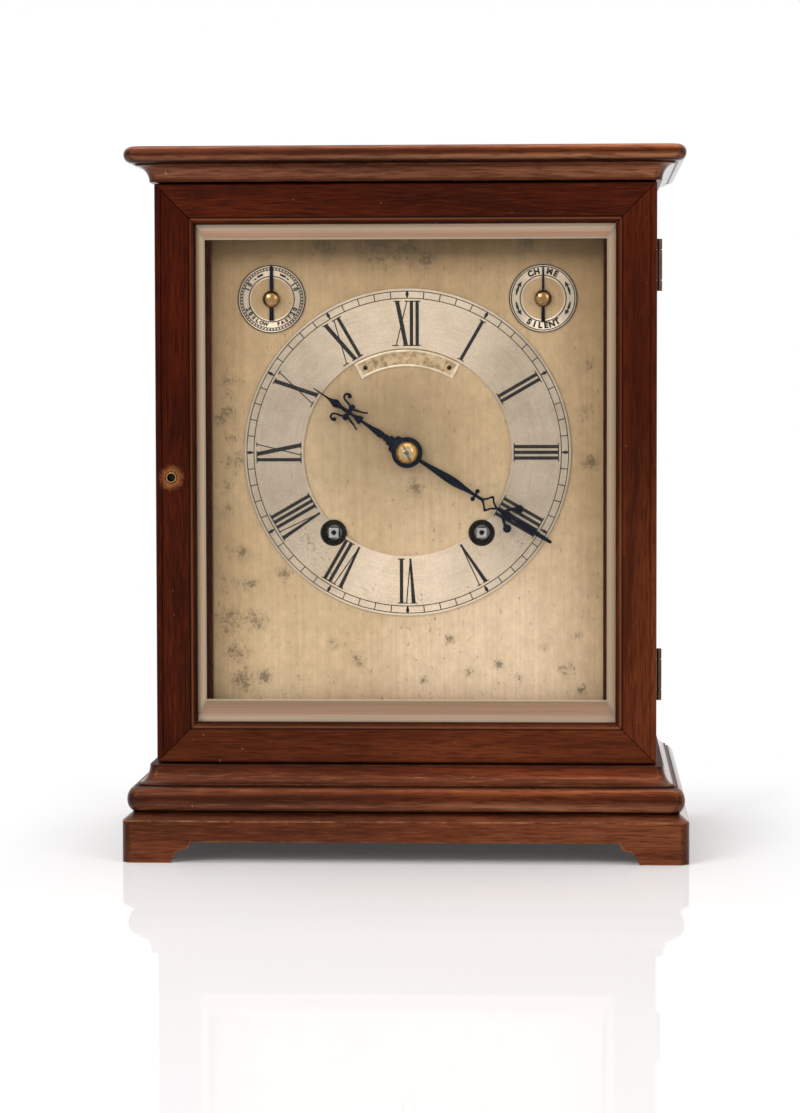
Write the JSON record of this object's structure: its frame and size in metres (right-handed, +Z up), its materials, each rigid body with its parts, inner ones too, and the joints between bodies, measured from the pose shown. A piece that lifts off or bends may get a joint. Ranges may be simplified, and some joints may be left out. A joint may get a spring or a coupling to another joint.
{
  "type": "table clock",
  "caption": "Mahogany bracket clock with a hinged glazed door, silvered dial with chapter ring, hands and sub-dials, and a pendulum movement that strikes on a coil gong.",
  "frame": {"origin": "on the floor under the middle of the case", "axes": "+Z up, the dial faces -Y, +X to the right as the dial is read"},
  "size_m": [0.27, 0.2, 0.34],
  "materials": {
    "mahogany": "french polished",
    "dark_wood": "stained",
    "glass": "bevelled, clear",
    "silvered": "aged silvered, brushed",
    "chapter": "silvered, matt",
    "brass": "polished",
    "aged_brass": "aged",
    "steel": "ground",
    "blued_steel": "blued"
  },
  "bodies": {
    "case": {"bracket_plinth": "mahogany", "base_bullnose": "mahogany", "base_step": "mahogany", "case_side_left": "mahogany", "case_side_right": "mahogany", "cornice_cove": "mahogany", "cornice_top": "mahogany", "seat_board": "dark_wood", "dial_surround": "dark_wood", "hinge_upper_case_leaf": "aged_brass", "hinge_lower_case_leaf": "aged_brass", "dial_plate": "silvered", "chapter_ring": "chapter", "name_plaque": "silvered", "regulation_ring": "chapter", "strike_selector_ring": "chapter", "front_plate": "brass", "back_plate": "brass", "back_cock": "brass", "gong": "steel", "gong_block": "aged_brass"},
    "front_door": {"door_stile_left": "mahogany", "door_stile_right": "mahogany", "door_rail_top": "mahogany", "door_rail_bottom": "mahogany", "door_glass": "glass", "glass_bead": "dark_wood", "lock_bush": "brass", "hinge_upper_door_leaf": "aged_brass", "hinge_lower_door_leaf": "aged_brass"},
    "latch": {"door_latch": "steel"},
    "rear_door": {"rear_door_frame": "mahogany", "rear_door_glass": "glass"},
    "minute_work": {"minute_hand": "blued_steel", "hand_collet": "brass", "cannon_pinion": "steel"},
    "minute_wheel_work": {"minute_wheel": "brass"},
    "hour_work": {"hour_hand": "blued_steel", "hour_wheel": "brass"},
    "regulation": {"regulation_pointer": "blued_steel", "regulation_boss": "brass"},
    "strike_selector": {"strike_selector_pointer": "blued_steel", "strike_selector_boss": "brass"},
    "going_barrel_work": {"going_barrel": "brass"},
    "going_winder": {"going_winding_arbor": "steel"},
    "going_click_work": {"going_click": "steel"},
    "intermediate_work": {"intermediate_wheel": "brass"},
    "centre_work": {"centre_wheel": "brass"},
    "third_work": {"third_wheel": "brass"},
    "escape_work": {"escape_wheel": "brass"},
    "pallet_work": {"pallets": "steel"},
    "pendulum": {"pendulum_rod": "steel", "pendulum_bob": "brass", "rating_nut": "brass"},
    "strike_barrel_work": {"strike_barrel": "brass"},
    "strike_winder": {"strike_winding_arbor": "steel"},
    "strike_click_work": {"strike_click": "steel"},
    "pin_wheel_work": {"strike_pin_wheel": "brass"},
    "fly": {"strike_fly": "brass"},
    "hammer": {"strike_hammer": "steel"}
  },
  "joints": [
    {"name": "front_door_swing", "type": "hinge", "parent": "case", "child": "front_door", "pos_m": [0.12075, -0.0684, 0.18], "axis": [0, 0, 1], "range_deg": [0, 110]},
    {"name": "latch_turn", "type": "hinge", "parent": "front_door", "child": "latch", "pos_m": [-0.112, -0.07, 0.18301], "axis": [0, 1, 0], "range_deg": [0, 90]},
    {"name": "rear_door_swing", "type": "hinge", "parent": "case", "child": "rear_door", "pos_m": [0.0995, 0.0945, 0.18], "axis": [0, 0, -1], "range_deg": [0, 88]},
    {"name": "minute_turn", "type": "hinge", "parent": "case", "child": "minute_work", "pos_m": [0, -0.06, 0.1945], "axis": [0, 1, 0], "continuous": true},
    {"name": "minute_wheel_turn", "type": "hinge", "parent": "case", "child": "minute_wheel_work", "pos_m": [-0.01832, -0.052, 0.20117], "axis": [0, 1, 0], "continuous": true},
    {"name": "hour_turn", "type": "hinge", "parent": "case", "child": "hour_work", "pos_m": [0, -0.06, 0.1945], "axis": [0, 1, 0], "continuous": true},
    {"name": "regulation_turn", "type": "hinge", "parent": "case", "child": "regulation", "pos_m": [-0.0654, -0.064, 0.26842], "axis": [0, 1, 0], "range_deg": [-150, 150]},
    {"name": "strike_selector_turn", "type": "hinge", "parent": "case", "child": "strike_selector", "pos_m": [0.0654, -0.064, 0.26842], "axis": [0, 1, 0], "range_deg": [0, 180]},
    {"name": "escape_turn", "type": "hinge", "parent": "case", "child": "escape_work", "pos_m": [0, -0.006, 0.22532], "axis": [0, 1, 0], "continuous": true},
    {"name": "third_turn", "type": "hinge", "parent": "case", "child": "third_work", "pos_m": [-0.00287, -0.019, 0.21075], "axis": [0, 1, 0], "continuous": true},
    {"name": "centre_turn", "type": "hinge", "parent": "case", "child": "centre_work", "pos_m": [0, -0.029, 0.1945], "axis": [0, 1, 0], "continuous": true},
    {"name": "intermediate_turn", "type": "hinge", "parent": "case", "child": "intermediate_work", "pos_m": [0.01845, -0.011, 0.18448], "axis": [0, 1, 0], "continuous": true},
    {"name": "going_barrel_turn", "type": "hinge", "parent": "case", "child": "going_barrel_work", "pos_m": [0.0358, -0.03, 0.1557], "axis": [0, 1, 0], "continuous": true},
    {"name": "going_winding", "type": "hinge", "parent": "case", "child": "going_winder", "pos_m": [0.0358, -0.05, 0.1557], "axis": [0, 1, 0], "continuous": true},
    {"name": "going_click_lift", "type": "hinge", "parent": "case", "child": "going_click_work", "pos_m": [0.0498, -0.051, 0.1587], "axis": [0, 1, 0], "range_deg": [0, 10], "stiffness_Nm_per_rad": 0.01},
    {"name": "pendulum_swing", "type": "hinge", "parent": "case", "child": "pendulum", "pos_m": [0, 0.0122, 0.24482], "axis": [0, 1, 0], "range_deg": [-4, 4]},
    {"name": "pallet_rock", "type": "hinge", "parent": "case", "child": "pallet_work", "pos_m": [0, -0.006, 0.24482], "axis": [0, 1, 0], "range_deg": [-4, 4]},
    {"name": "fly_turn", "type": "hinge", "parent": "case", "child": "fly", "pos_m": [-0.04106, -0.03, 0.20765], "axis": [0, 1, 0], "continuous": true},
    {"name": "pin_wheel_turn", "type": "hinge", "parent": "case", "child": "pin_wheel_work", "pos_m": [-0.0445, -0.011, 0.18816], "axis": [0, 1, 0], "continuous": true},
    {"name": "strike_barrel_turn", "type": "hinge", "parent": "case", "child": "strike_barrel_work", "pos_m": [-0.0358, -0.03, 0.1557], "axis": [0, 1, 0], "continuous": true},
    {"name": "strike_winding", "type": "hinge", "parent": "case", "child": "strike_winder", "pos_m": [-0.0358, -0.05, 0.1557], "axis": [0, 1, 0], "continuous": true},
    {"name": "strike_click_lift", "type": "hinge", "parent": "case", "child": "strike_click_work", "pos_m": [-0.0498, -0.051, 0.1587], "axis": [0, -1, 0], "range_deg": [0, 10], "stiffness_Nm_per_rad": 0.01},
    {"name": "hammer_lift", "type": "hinge", "parent": "case", "child": "hammer", "pos_m": [-0.053, -0.024, 0.127], "axis": [0, 1, 0], "range_deg": [0, 10], "stiffness_Nm_per_rad": 0.02}
  ],
  "couplings": [
    {"joint": "minute_wheel_turn", "follows": "minute_turn", "ratio": -1},
    {"joint": "hour_turn", "follows": "minute_turn", "ratio": 0.083333},
    {"joint": "third_turn", "follows": "escape_turn", "ratio": -0.1},
    {"joint": "centre_turn", "follows": "escape_turn", "ratio": 0.01},
    {"joint": "intermediate_turn", "follows": "escape_turn", "ratio": -0.0016667},
    {"joint": "going_barrel_turn", "follows": "escape_turn", "ratio": 0.00027778},
    {"joint": "pallet_rock", "follows": "pendulum_swing", "ratio": 1},
    {"joint": "pin_wheel_turn", "follows": "fly_turn", "ratio": -0.1},
    {"joint": "strike_barrel_turn", "follows": "fly_turn", "ratio": 0.016667}
  ]
}
